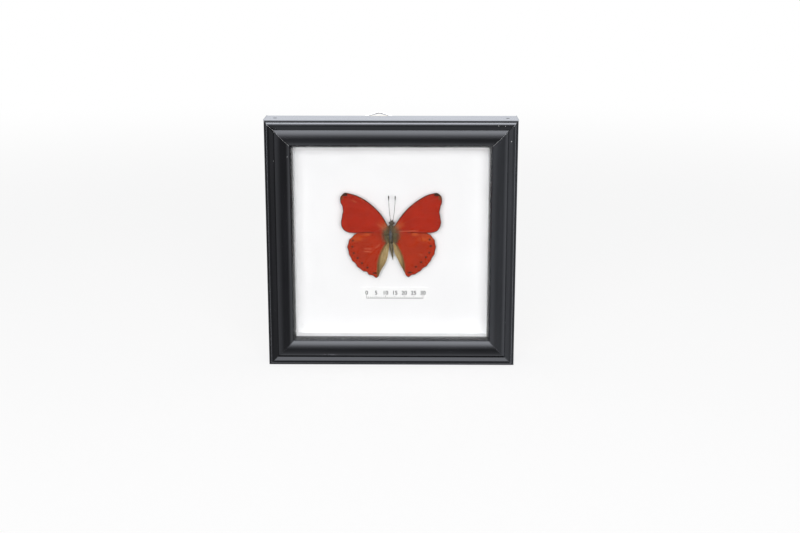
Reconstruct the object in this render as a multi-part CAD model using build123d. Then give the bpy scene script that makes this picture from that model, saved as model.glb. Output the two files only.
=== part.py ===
from build123d import *
import os

# Butterfly display case, millimetres. +Z is up and the glass faces -Y.
# The origin is the middle of the flat bottom edge that the case stands on.
# Pieces are drawn with Y as the depth behind the front plane and moved to the origin at the end.

# ---- driving sizes: frame ----
case_width = 130.0
case_height = 130.5
rail_width = 14.4
rabbet_width = 5.5

# moulding profile: depth behind the front plane, and distance in from the outer edge
shoulder_depth = 2.8
shoulder_width = 0.8
bead_top_depth = 0.4
bead_top_in = 1.6
bead_top_width = 1.2
bead_outside_radius = 0.5
bead_inside_radius = 0.9
valley_depth = 1.4
valley_in = 4.8
bulge_crest_in = 8.6
sight_edge_depth = 6.0
lip_thickness = 1.7
mitre_overcut = 1.0

# ---- driving sizes: what the rabbet holds ----
glazing_clearance = 0.4
glass_thickness = 2.0
spacer_width = 5.2
card_thickness = 0.5
foam_thickness = 3.0
back_thickness = 2.3
label_width = 36.0
label_height = 6.6
label_thickness = 0.5
label_right_of_centre = 1.7
label_above_sight_edge = 18.2

# ---- driving sizes: brads through the mitres ----
brad_inset = 5.0
brad_depth = 11.7
brad_radius = 0.6
brad_length = 14.0
brad_tip = 1.2
brad_point_radius = 0.1
brad_head_radius = 0.95
brad_head_height = 0.5
brad_sink = 0.4
brad_clearance = 0.02

# ---- driving sizes: turn buttons and their screws ----
button_width = 7.0
button_reach = 9.0
button_thickness = 1.0
button_gap = 0.1
button_inset = 4.25
button_from_end = 35.0
button_screw_radius = 1.5
button_screw_length = 9.0
button_screw_head_radius = 2.75
button_screw_head_height = 1.8
running_clearance = 0.08
screw_clearance = 0.02
recess_width_share = 0.22
recess_length_share = 1.3
recess_floor_share = 0.45
head_round_share = 0.6

# ---- driving sizes: hanger ----
hanger_left_of_centre = 6.8
strap_width = 9.0
strap_thickness = 0.6
strap_length = 7.0
strap_shoulder = 2.6
ring_wire_radius = 0.5
ring_clearance = 0.05
ring_half_width = 9.3
ring_height = 8.8
ring_corner_radius = 1.6
ring_end_gap = 0.2
ring_tilt = 12.0
ring_below_top = 1.3
hanger_screw_drop = 4.9
hanger_screw_radius = 1.0
hanger_screw_length = 8.0
hanger_screw_head_radius = 1.8
hanger_screw_head_height = 1.2

# ---- driving sizes: specimen ----
specimen_above_middle = 4.2
specimen_left_of_centre = 0.3
glass_gap = 0.6
thorax_radii = (2.3, 2.2, 5.2)
specimen_stand = 1.0
pad_width = 3.6
pad_height = 6.0
pad_lap = 0.9
abdomen_radii = (1.15, 1.1, 5.1)
abdomen_drop = 9.1
abdomen_back = 0.35
abdomen_right = 0.45
abdomen_lean = 6.5
head_radii = (1.35, 1.2, 1.2)
head_rise = 5.75
head_right = 0.5
head_forward = 0.4
eye_radius = 0.62
eye_offset = 1.05
eye_forward = 0.2
eye_rise = 0.2
palp_radius = 0.27
palp_length = 1.3
palp_spread = 0.42
palp_back = 0.5
palp_splay = 8.0
palp_round_share = 0.8
snout_rise = 0.6
antenna_radius = 0.17
antenna_length = 14.3
antenna_club_radius = 0.32
antenna_club_length = 2.4
antenna_root_offset = 0.35
antenna_forward = 0.4
antenna_left_lean = 5.6
antenna_right_lean = 6.4
wing_thickness = 0.3
wing_lap_gap = 0.05
wing_stand = 3.8
body_fit = 0.05
eye_fit = 0.03

# Left wing outlines, seen from the front, from the middle of the thorax.
FOREWING_MARGIN = [
    (-1.2, 4.0), (-2.3, 5.6), (-5.1, 10.5), (-11.0, 16.4), (-18.1, 20.7), (-24.0, 22.0),
    (-26.5, 19.0), (-25.2, 12.5), (-26.2, 5.4), (-24.0, 1.6), (-19.5, 0.5),
]
FOREWING_ROOT = [(-4.3, 0.8), (-0.6, -0.5)]
HINDWING_MARGIN = [
    (-0.8, 0.4), (-8.0, 2.2), (-17.0, 1.2), (-21.7, -3.1), (-22.8, -7.9), (-20.5, -14.4),
    (-16.3, -19.2), (-12.1, -22.0), (-7.8, -23.7), (-5.7, -20.9), (-2.9, -16.1), (-1.1, -10.0),
]
HINDWING_ROOT = [(-0.9, -4.0)]

# ---- worked out from the driving sizes ----
card_to_glass = glass_gap + 2 * thorax_radii[1] + specimen_stand
glass_front = sight_edge_depth + lip_thickness
glass_back = glass_front + glass_thickness
card_front = glass_back + card_to_glass
foam_front = card_front + card_thickness
panel_front = foam_front + foam_thickness
case_depth = panel_front + back_thickness
origin_depth = (shoulder_depth + case_depth) / 2

rabbet_in = rail_width - rabbet_width
glazing_width = case_width - 2 * (rabbet_in + glazing_clearance)
glazing_height = case_height - 2 * (rabbet_in + glazing_clearance)
glazing_bottom = rabbet_in
glazing_middle = glazing_bottom + glazing_height / 2

thorax_depth = glass_back + glass_gap + thorax_radii[1]
specimen_x = -specimen_left_of_centre
specimen_z = case_height / 2 + specimen_above_middle
hindwing_front = card_front - wing_stand - wing_thickness
forewing_front = hindwing_front - wing_lap_gap - wing_thickness

ring_depth = case_depth + strap_thickness + ring_clearance + ring_wire_radius
ring_z = case_height - ring_below_top
hanger_screw_z = ring_z - hanger_screw_drop
strap_back = case_depth + 2 * strap_thickness


def outline_face(*edges):
    """A flat face in the XY plane from edges that close."""
    return make_face(Curve() + list(edges))


def upright(flat, depth, thickness):
    """Stand a face drawn as (x, z) up and give it thickness backwards from a depth."""
    return Pos(0, depth, 0) * (Rot(90, 0, 0) * extrude(flat, amount=-thickness))


def sheet(width, height, depth, thickness, middle_x, middle_z):
    return upright(Pos(middle_x, middle_z) * Rectangle(width, height), depth, thickness)


def ellipsoid(radii, centre, lean=0.0, grow=0.0):
    """An ellipsoid with radii along X, Y and Z, leant about Y by degrees."""
    ball = scale(Sphere(1.0), by=tuple(radius + grow for radius in radii))
    return Pos(*centre) * (Rot(0, lean, 0) * ball)


# ---- frame ----
def moulding_profile():
    """The rail's section, drawn as (depth, distance in from the outer edge)."""
    shoulder = (shoulder_depth, shoulder_width)
    valley = (valley_depth, valley_in)
    bulge_crest = (0, bulge_crest_in)
    sight_edge = (sight_edge_depth, rail_width)
    bead = FilletPolyline(
        shoulder, (bead_top_depth, bead_top_in), (bead_top_depth, bead_top_in + bead_top_width), valley,
        radius=(bead_outside_radius, bead_inside_radius))
    bulge_outside = TangentArc(bulge_crest, valley, tangent=(0, -1))
    bulge_inside = EllipticalCenterArc(
        (sight_edge_depth, bulge_crest_in), sight_edge_depth, rail_width - bulge_crest_in,
        start_angle=90, arc_size=90)
    back = Polyline(sight_edge, (glass_front, rail_width), (glass_front, rabbet_in),
                    (case_depth, rabbet_in), (case_depth, 0), (shoulder_depth, 0), shoulder)
    return outline_face(bead, bulge_outside, bulge_inside, back)


def make_rail(length):
    """A mitred rail along X with its outer edge at z = 0 and its sight edge above."""
    bar = extrude(Plane.YZ * moulding_profile(), amount=length / 2, both=True)
    half = length / 2
    mitre = outline_face(Polyline((-half, 0), (half, 0), (half - rail_width, rail_width),
                                  (rail_width - half, rail_width), close=True))
    return bar & upright(mitre, -mitre_overcut, case_depth + 2 * mitre_overcut)


def brad_places():
    """Each brad's corner place on the top or bottom edge, with its shank into the frame."""
    places = []
    for side in (-1, 1):
        x = side * (case_width / 2 - brad_inset)
        places.append(Pos(x, brad_depth, case_height))
        places.append(Pos(x, brad_depth, 0) * Rot(0, 180, 0))
    return places


def make_brad():
    """A brad that points down from a surface at z = 0."""
    down = (Align.CENTER, Align.CENTER, Align.MAX)
    head = Pos(0, 0, -brad_sink) * Cylinder(brad_head_radius, brad_head_height, align=down)
    shank = Pos(0, 0, -brad_sink) * Cylinder(brad_radius, brad_length - brad_tip, align=down)
    point = Cone(brad_point_radius, brad_radius, brad_tip, align=down)
    tip = Pos(0, 0, -brad_sink - brad_length + brad_tip) * point
    return head + shank + tip


def make_brad_hole():
    down = (Align.CENTER, Align.CENTER, Align.MAX)
    sunk = brad_sink + brad_head_height + brad_clearance
    deep = brad_sink + brad_length + brad_clearance
    mouth = Cylinder(brad_head_radius + brad_clearance, sunk, align=down)
    return mouth + Cylinder(brad_radius + brad_clearance, deep, align=down)


def make_frame_rails():
    lying = make_rail(case_width)
    standing = Pos(0, 0, case_height / 2) * (Rot(0, 90, 0) * make_rail(case_height))
    rails = {
        "bottom_rail": lying,
        "top_rail": Pos(0, 0, case_height) * (Rot(0, 180, 0) * lying),
        "left_rail": Pos(-case_width / 2, 0, 0) * standing,
        "right_rail": Pos(case_width / 2, 0, case_height) * (Rot(0, 180, 0) * standing),
    }
    for name in rails:
        for place in brad_places():
            rails[name] -= place * make_brad_hole()
    for place in button_places().values():
        hole = place * screw_hole(button_screw_radius, button_screw_length)
        rails["left_rail"] -= hole
        rails["right_rail"] -= hole
    rails["top_rail"] -= hanger_screw_place() * screw_hole(hanger_screw_radius, hanger_screw_length)
    return rails


# ---- fasteners on the back ----
def make_screw(radius, length, head_radius, head_height):
    """A round-headed screw along Y with its head's seat at y = 0 and its shank forwards."""
    down = (Align.CENTER, Align.CENTER, Align.MAX)
    up = (Align.CENTER, Align.CENTER, Align.MIN)
    head = Cylinder(head_radius, head_height, align=up)
    head = fillet(head.edges().sort_by(Axis.Z)[-1], head_height * head_round_share)
    arm = Box(recess_length_share * head_radius, recess_width_share * head_radius, head_height, align=up)
    for turn in (0, 90):
        head -= Pos(0, 0, head_height * recess_floor_share) * (Rot(0, 0, turn) * arm)
    shank = Cylinder(radius, length, align=down)
    return Rot(-90, 0, 0) * (head + shank)


def screw_hole(radius, length):
    """The hole for a screw's shank, from its seat forwards."""
    deep = length + screw_clearance
    down = (Align.CENTER, Align.CENTER, Align.MAX)
    return Rot(-90, 0, 0) * Cylinder(radius + screw_clearance, deep, align=down)


def button_seat():
    """The depth of the face under a turn button's screw head."""
    return case_depth + 2 * button_gap + button_thickness


def button_places():
    """Each turn button's pivot on the back, at its screw's seat, by name."""
    places = {}
    for side_name, side in (("left", -1), ("right", 1)):
        x = side * (case_width / 2 - button_inset)
        places["lower_" + side_name] = Pos(x, button_seat(), button_from_end)
        places["upper_" + side_name] = Pos(x, button_seat(), case_height - button_from_end)
    return places


def make_button(inward):
    """A turn button about its pivot, reaching along +X or -X over the back panel."""
    middle = inward * button_reach / 2
    flat = Pos(middle, 0) * SlotCenterToCenter(button_reach, button_width)
    flat -= Circle(button_screw_radius + running_clearance)
    return upright(flat, -button_gap - button_thickness, button_thickness)


def hanger_screw_place():
    return Pos(-hanger_left_of_centre, strap_back, hanger_screw_z)


def make_hanger_strap():
    """A strip folded round the ring's base and laid double on the top rail's back."""
    knuckle_radius = ring_wire_radius + ring_clearance + strap_thickness
    low_z = ring_z - strap_length
    step_z = ring_z - strap_shoulder
    leaves = outline_face(Polyline(
        (case_depth, ring_z), (case_depth, low_z), (strap_back, low_z), (strap_back, step_z),
        (ring_depth + knuckle_radius, ring_z), close=True))
    knuckle = Pos(ring_depth, ring_z) * Circle(knuckle_radius)
    eye = Pos(ring_depth, ring_z) * Circle(ring_wire_radius + ring_clearance)
    section = Plane.YZ * (leaves + knuckle - eye)
    strap = Pos(-hanger_left_of_centre, 0, 0) * extrude(section, amount=strap_width / 2, both=True)
    return strap - hanger_screw_place() * screw_hole(hanger_screw_radius, strap_thickness * 2)


def make_hanger_ring():
    """A triangle of bent wire whose ends meet inside the strap's knuckle."""
    plane = Plane(origin=(-hanger_left_of_centre, ring_depth, ring_z), x_dir=(1, 0, 0),
                  z_dir=Vector(0, 0, -1).rotate(Axis.X, ring_tilt))
    path = FilletPolyline(
        (ring_end_gap / 2, 0), (ring_half_width, 0), (0, -ring_height),
        (-ring_half_width, 0), (-ring_end_gap / 2, 0), radius=ring_corner_radius)
    path = plane * path
    wire = Plane(origin=path @ 0, z_dir=path % 0) * Circle(ring_wire_radius)
    return sweep(wire, path=path)


# ---- specimen ----
def make_thorax(grow=0.0):
    return ellipsoid(thorax_radii, (specimen_x, thorax_depth, specimen_z), grow=grow)


def make_abdomen(grow=0.0):
    centre = (specimen_x + abdomen_right, thorax_depth + abdomen_back, specimen_z - abdomen_drop)
    return ellipsoid(abdomen_radii, centre, lean=-abdomen_lean, grow=grow)


def head_centre():
    return (specimen_x + head_right, thorax_depth - head_forward, specimen_z + head_rise)


def make_eyes(grow=0.0):
    x, y, z = head_centre()
    eye = Sphere(eye_radius + grow)
    return [Pos(x + side * eye_offset, y - eye_forward, z + eye_rise) * eye for side in (-1, 1)]


def make_palps():
    x, y, z = head_centre()
    up = (Align.CENTER, Align.CENTER, Align.MIN)
    palp = Cylinder(palp_radius, palp_length, align=up)
    palp = fillet(palp.edges().sort_by(Axis.Z)[-1], palp_radius * palp_round_share)
    return [Pos(x + side * palp_spread, y + palp_back, z + snout_rise)
            * (Rot(0, side * palp_splay, 0) * palp) for side in (-1, 1)]


def make_antenna(side, lean):
    x, y, z = head_centre()
    up = (Align.CENTER, Align.CENTER, Align.MIN)
    stalk = Cylinder(antenna_radius, antenna_length, align=up)
    club = ellipsoid((antenna_club_radius, antenna_club_radius, antenna_club_length / 2),
                     (0, 0, antenna_length - antenna_club_length / 2))
    root = Pos(x + side * antenna_root_offset, y - antenna_forward, z + snout_rise)
    return root * (Rot(0, side * lean, 0) * (stalk + club))


def make_wing(margin, root, front, side):
    """A thin wing from its curved margin and straight root edges, mirrored for the right."""
    points = [(specimen_x - side * x, specimen_z + z) for x, z in margin + root]
    curve = Spline(*points[:len(margin)])
    edges = Polyline(*points[len(margin) - 1:], points[0])
    wing = upright(outline_face(curve, edges), front, wing_thickness)
    return wing - make_thorax(body_fit) - make_abdomen(body_fit)


def make_pad():
    depth = card_front - specimen_stand - pad_lap
    pad = sheet(pad_width, pad_height, depth, card_front - depth, specimen_x, specimen_z)
    return pad - make_thorax(body_fit)


def make_specimen():
    head = ellipsoid(head_radii, head_centre()) - make_thorax(body_fit)
    palps = make_palps()
    antennae = {
        "left_antenna": make_antenna(-1, antenna_left_lean),
        "right_antenna": make_antenna(1, antenna_right_lean),
    }
    for piece in make_eyes(eye_fit) + palps + list(antennae.values()):
        head -= piece
    pieces = {
        "thorax": make_thorax(),
        "abdomen": make_abdomen() - make_thorax(body_fit),
        "head": head,
        "eyes": Compound(children=make_eyes()),
        "palps": Compound(children=palps),
        "specimen_pad": make_pad(),
        **antennae,
    }
    for side_name, side in (("left", -1), ("right", 1)):
        pieces[side_name + "_forewing"] = make_wing(FOREWING_MARGIN, FOREWING_ROOT, forewing_front, -side)
        pieces[side_name + "_hindwing"] = make_wing(HINDWING_MARGIN, HINDWING_ROOT, hindwing_front, -side)
    return pieces


# ---- what the rabbet holds ----
def make_glazing():
    """Glass, spacers, card, foam board and back panel, which all stand on the bottom rabbet."""
    side_x = (glazing_width - spacer_width) / 2
    side_height = glazing_height - 2 * spacer_width
    low_z = glazing_bottom + spacer_width / 2
    high_z = glazing_bottom + glazing_height - spacer_width / 2
    label_z = rail_width + label_above_sight_edge + label_height / 2

    def full(front, thickness):
        return sheet(glazing_width, glazing_height, front, thickness, 0, glazing_middle)

    def spacer(width, height, x, z):
        return sheet(width, height, glass_back, card_to_glass, x, z)

    return {
        "front_glass": full(glass_front, glass_thickness),
        "bottom_spacer": spacer(glazing_width, spacer_width, 0, low_z),
        "top_spacer": spacer(glazing_width, spacer_width, 0, high_z),
        "left_spacer": spacer(spacer_width, side_height, -side_x, glazing_middle),
        "right_spacer": spacer(spacer_width, side_height, side_x, glazing_middle),
        "mounting_card": full(card_front, card_thickness),
        "foam_board": full(foam_front, foam_thickness),
        "back_panel": full(panel_front, back_thickness),
        "label_strip": sheet(label_width, label_height, card_front - label_thickness,
                             label_thickness, label_right_of_centre, label_z),
    }


def make_back_hardware():
    screws = []
    pieces = {}
    for name, place in button_places().items():
        inward = 1 if name.endswith("left") else -1
        pieces[name + "_turn_button"] = place * make_button(inward)
        screws.append(place * make_screw(button_screw_radius, button_screw_length,
                                         button_screw_head_radius, button_screw_head_height))
    pieces["turn_button_screws"] = Compound(children=screws)
    pieces["hanger_strap"] = make_hanger_strap()
    pieces["hanger_ring"] = make_hanger_ring()
    pieces["hanger_screw"] = hanger_screw_place() * make_screw(
        hanger_screw_radius, hanger_screw_length, hanger_screw_head_radius, hanger_screw_head_height)
    return pieces


def make_case():
    return {
        **make_frame_rails(),
        "corner_brads": Compound(children=[place * make_brad() for place in brad_places()]),
        **make_glazing(),
        **make_specimen(),
        **make_back_hardware(),
    }


os.makedirs("parts", exist_ok=True)
for node, piece in make_case().items():
    export_step(Pos(0, -origin_depth, 0) * piece, os.path.join("parts", node + ".step"))
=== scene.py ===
import math

import bmesh
import bpy
import numpy as np
from mathutils import Euler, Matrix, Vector


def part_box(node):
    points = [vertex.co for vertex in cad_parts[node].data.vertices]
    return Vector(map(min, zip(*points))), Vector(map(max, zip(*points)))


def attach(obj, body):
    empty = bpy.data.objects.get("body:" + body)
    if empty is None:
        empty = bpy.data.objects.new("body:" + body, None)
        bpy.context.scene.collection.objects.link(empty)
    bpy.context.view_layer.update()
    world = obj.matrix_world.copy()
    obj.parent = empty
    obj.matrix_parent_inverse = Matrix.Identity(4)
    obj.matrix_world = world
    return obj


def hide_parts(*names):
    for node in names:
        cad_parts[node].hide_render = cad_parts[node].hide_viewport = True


# Butterfly display case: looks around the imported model. Metres, +Z up, glass towards -Y.

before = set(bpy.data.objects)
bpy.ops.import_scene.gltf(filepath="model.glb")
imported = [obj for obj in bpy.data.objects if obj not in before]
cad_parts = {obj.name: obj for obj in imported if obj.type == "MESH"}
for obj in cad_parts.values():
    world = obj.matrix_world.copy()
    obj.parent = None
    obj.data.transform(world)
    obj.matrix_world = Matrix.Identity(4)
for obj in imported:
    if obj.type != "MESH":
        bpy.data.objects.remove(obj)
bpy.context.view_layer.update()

MM = 0.001
CASE = "case"
CURVE_STEPS = 24
NOISE_WAVES = 5

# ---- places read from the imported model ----
TOP_LOW, TOP_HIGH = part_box("top_rail")
GLASS_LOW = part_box("front_glass")[0]
LABEL_LOW, LABEL_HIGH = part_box("label_strip")
THORAX_LOW, THORAX_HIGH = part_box("thorax")
ABDOMEN_LOW, ABDOMEN_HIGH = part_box("abdomen")
HEAD_LOW, HEAD_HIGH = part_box("head")
FORE_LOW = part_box("left_forewing")[0]
HIND_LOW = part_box("left_hindwing")[0]

CASE_WIDTH = TOP_HIGH.x - TOP_LOW.x
CASE_HEIGHT = TOP_HIGH.z
RAIL_WIDTH = TOP_HIGH.z - TOP_LOW.z
FRONT_Y = TOP_LOW.y
BACK_Y = TOP_HIGH.y
THORAX = (THORAX_LOW + THORAX_HIGH) / 2


# ---- mesh helpers ----
def mesh_object(name, vertices, faces, materials, smooth=True):
    mesh = bpy.data.meshes.new(name)
    mesh.from_pydata([tuple(v) for v in vertices], [], [tuple(f) for f in faces])
    mesh.validate()
    for material in materials:
        mesh.materials.append(material)
    mesh.polygons.foreach_set("use_smooth", [smooth] * len(mesh.polygons))
    mesh.update()
    obj = bpy.data.objects.new(name, mesh)
    bpy.context.scene.collection.objects.link(obj)
    return obj


def add_values(obj, name, values):
    """A float for each vertex, which a material reads by name."""
    layer = obj.data.attributes.new(name, "FLOAT", "POINT")
    layer.data.foreach_set("value", np.asarray(values, np.float32))


def add_vectors(obj, name, vectors):
    """A vector for each vertex, which a material reads by name."""
    layer = obj.data.attributes.new(name, "FLOAT_VECTOR", "POINT")
    layer.data.foreach_set("vector", np.asarray(vectors, np.float32).ravel())


def stand_for(obj, slot, *nodes):
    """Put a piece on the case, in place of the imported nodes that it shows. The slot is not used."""
    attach(obj, CASE)
    if nodes:
        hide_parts(*nodes)
    return obj


def grid_faces(rows, columns, closed=False):
    """Quads of a grid of vertices laid row by row, with each row closed on itself if asked."""
    faces = []
    for r in range(rows - 1):
        for c in range(columns if closed else columns - 1):
            d = (c + 1) % columns
            faces.append((r * columns + c, r * columns + d, (r + 1) * columns + d, (r + 1) * columns + c))
    return faces


def tube_faces(rings, around):
    """Faces of a tube of vertices laid ring by ring, closed at both ends."""
    last = (rings - 1) * around
    ends = [tuple(range(around))[::-1], tuple(range(last, last + around))]
    return grid_faces(rings, around, closed=True) + ends


def smooth_step(low, high, x):
    t = np.clip((x - low) / (high - low), 0, 1)
    return t * t * (3 - 2 * t)


def curve_through(points, count, closed=False):
    """Evenly spread points on a centripetal Catmull-Rom curve through the given ones."""
    p = np.asarray(points, float)
    if closed:
        p = np.vstack([p[-1], p, p[:2]])
    else:
        p = np.vstack([2 * p[0] - p[1], p, 2 * p[-1] - p[-2]])
    fine = []
    for a, b, c, d in zip(p[:-3], p[1:-2], p[2:-1], p[3:]):
        k1 = np.linalg.norm(b - a) ** 0.5
        k2 = k1 + np.linalg.norm(c - b) ** 0.5
        k3 = k2 + np.linalg.norm(d - c) ** 0.5
        t = np.linspace(k1, k2, CURVE_STEPS, endpoint=False)[:, None]
        ab = (k1 - t) / k1 * a + t / k1 * b
        bc = (k2 - t) / (k2 - k1) * b + (t - k1) / (k2 - k1) * c
        cd = (k3 - t) / (k3 - k2) * c + (t - k2) / (k3 - k2) * d
        abc = (k2 - t) / k2 * ab + t / k2 * bc
        bcd = (k3 - t) / (k3 - k1) * bc + (t - k1) / (k3 - k1) * cd
        fine.append((k2 - t) / (k2 - k1) * abc + (t - k1) / (k2 - k1) * bcd)
    fine = np.vstack(fine + [p[-2][None]])
    step = np.r_[0, np.cumsum(np.linalg.norm(np.diff(fine, axis=0), axis=1))]
    where = np.linspace(0, step[-1], count)
    return np.stack([np.interp(where, step, fine[:, k]) for k in range(fine.shape[1])], 1)


def value_noise(points, size, seed, octaves=3):
    """Smooth noise from -1 to 1 at points, in metres, with blobs about size across."""
    gen = np.random.default_rng(seed)
    total = np.zeros(len(points))
    strength, span = 1.0, size
    for _ in range(octaves):
        for _ in range(NOISE_WAVES):
            wave = gen.normal(size=3)
            wave /= np.linalg.norm(wave)
            phase = gen.uniform(0, 2 * math.pi)
            total += strength * np.sin(points @ wave * (2 * math.pi / span) + phase) / 3
        strength, span = strength * 0.5, span * 0.47
    return np.clip(total / 1.6, -1, 1)


# ---- material helpers ----
class Nodes:
    """A node tree that is built up by short calls."""

    def __init__(self, tree):
        self.tree = tree
        tree.nodes.clear()

    def node(self, kind, **settings):
        made = self.tree.nodes.new(kind)
        for key, value in settings.items():
            setattr(made, key, value)
        return made

    def feed(self, socket, value):
        """Link a socket to another node's, or set its value."""
        if isinstance(value, bpy.types.NodeSocket):
            self.tree.links.new(value, socket)
        elif isinstance(value, (tuple, list)) and socket.type == "RGBA" and len(value) == 3:
            socket.default_value = (*value, 1.0)
        else:
            socket.default_value = value

    def math(self, operation, a, b=0.0, c=0.0):
        made = self.node("ShaderNodeMath", operation=operation)
        for socket, value in zip(made.inputs, (a, b, c)):
            self.feed(socket, value)
        return made.outputs[0]

    def times(self, a, b):
        return self.math("MULTIPLY", a, b)

    def span(self, x, low, high, to_low=0.0, to_high=1.0):
        """Map x from low..high to another range, clamped."""
        made = self.node("ShaderNodeMapRange", interpolation_type="SMOOTHSTEP")
        self.feed(made.inputs["Value"], x)
        for key, value in zip(("From Min", "From Max", "To Min", "To Max"), (low, high, to_low, to_high)):
            made.inputs[key].default_value = value
        return made.outputs["Result"]

    def mix(self, share, a, b):
        """Blend of two colours."""
        made = self.node("ShaderNodeMix", data_type="RGBA")
        self.feed(made.inputs["Factor"], share)
        self.feed(made.inputs[6], a)
        self.feed(made.inputs[7], b)
        return made.outputs[2]

    def ramp(self, x, stops, most):
        """A curve through (x, value) stops, for x from -1 to 1 and values up to most."""
        made = self.node("ShaderNodeValToRGB")
        self.feed(made.inputs["Fac"], self.math("MULTIPLY_ADD", x, 0.5, 0.5))
        elements = made.color_ramp.elements
        while len(elements) < len(stops):
            elements.new(0.5)
        for element, (place, _) in zip(elements, stops):
            element.position = place / 2 + 0.5
        for element, (_, value) in zip(elements, stops):
            element.color = (*[value / most] * 3, 1)
        return self.times(made.outputs["Color"], most)


class Shading(Nodes):
    """A material: its main shader, called the skin, and what feeds it."""

    def __init__(self, name):
        self.material = bpy.data.materials.new(name)
        self.material.use_nodes = True
        super().__init__(self.material.node_tree)
        self.output = self.node("ShaderNodeOutputMaterial")
        self.skin = self.node("ShaderNodeBsdfPrincipled")
        self.feed(self.output.inputs[0], self.skin.outputs[0])

    def set(self, **inputs):
        """Feed the skin's inputs, named with underscores for spaces."""
        for key, value in inputs.items():
            self.feed(self.skin.inputs[key.replace("_", " ")], value)

    def place(self, stretch=(1, 1, 1), attribute=None):
        """Coordinates in metres, stretched, from the object or from a vector attribute."""
        if attribute:
            source = self.node("ShaderNodeAttribute", attribute_name=attribute).outputs["Vector"]
        else:
            source = self.node("ShaderNodeTexCoord").outputs["Object"]
        mapping = self.node("ShaderNodeMapping")
        self.feed(mapping.inputs["Vector"], source)
        mapping.inputs["Scale"].default_value = stretch
        return mapping.outputs[0]

    def distance(self, stretch, middle):
        """The stretched coordinates' distance from a point that is given in them."""
        apart = self.node("ShaderNodeVectorMath", operation="DISTANCE")
        self.feed(apart.inputs[0], self.place(stretch))
        apart.inputs[1].default_value = middle
        return apart.outputs["Value"]

    def value(self, attribute):
        return self.node("ShaderNodeAttribute", attribute_name=attribute).outputs["Fac"]

    def noise(self, size, detail=3.0, roughness=0.5, where=None):
        """Noise with blobs of about size metres."""
        made = self.node("ShaderNodeTexNoise")
        self.feed(made.inputs["Vector"], where if where is not None else self.place())
        made.inputs["Scale"].default_value = 1 / size
        made.inputs["Detail"].default_value = detail
        made.inputs["Roughness"].default_value = roughness
        return made.outputs["Fac"]

    def cells(self, size):
        """Distance from the middle of the nearest cell, for cells of about size metres."""
        made = self.node("ShaderNodeTexVoronoi", feature="F1")
        self.feed(made.inputs["Vector"], self.place())
        made.inputs["Scale"].default_value = 1 / size
        return made.outputs["Distance"]

    def bump(self, height, distance, strength):
        made = self.node("ShaderNodeBump")
        made.inputs["Strength"].default_value = strength
        made.inputs["Distance"].default_value = distance
        self.feed(made.inputs["Height"], height)
        return made.outputs[0]

    def blend(self, share, first, second):
        """Show a blend of two shaders instead of the skin alone."""
        made = self.node("ShaderNodeMixShader")
        for socket, value in zip(made.inputs, (share, first, second)):
            self.feed(socket, value)
        self.feed(self.output.inputs[0], made.outputs[0])


def srgb(red, green, blue):
    """A linear colour from 0..255 screen values."""
    return tuple((v / 255 / 12.92) if v / 255 <= 0.04045 else ((v / 255 + 0.055) / 1.055) ** 2.4
                 for v in (red, green, blue))


# ---- materials ----
# Chips in the foil as (x, z, radius) and one scuff as (x, z), seen from the front, in millimetres.
FOIL_CHIPS = [
    (61.4, 120.1, 0.2), (58.2, 128.0, 0.15), (54.7, 128.0, 0.13), (-60.1, 109.8, 0.14), (-53.2, 111.9, 0.13),
]
SCUFF_PLACE = (-33.0 * MM, 6.2 * MM)
SCUFF_REACH = (6.5 * MM, 0.8 * MM)
FOIL_IOR = 1.55
GLASS_IOR = 1.5
GLASS_GLOSS = (0.35, 0.35, 0.35)
GLASS_CLARITY = (0.962, 0.962, 0.962)


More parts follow.
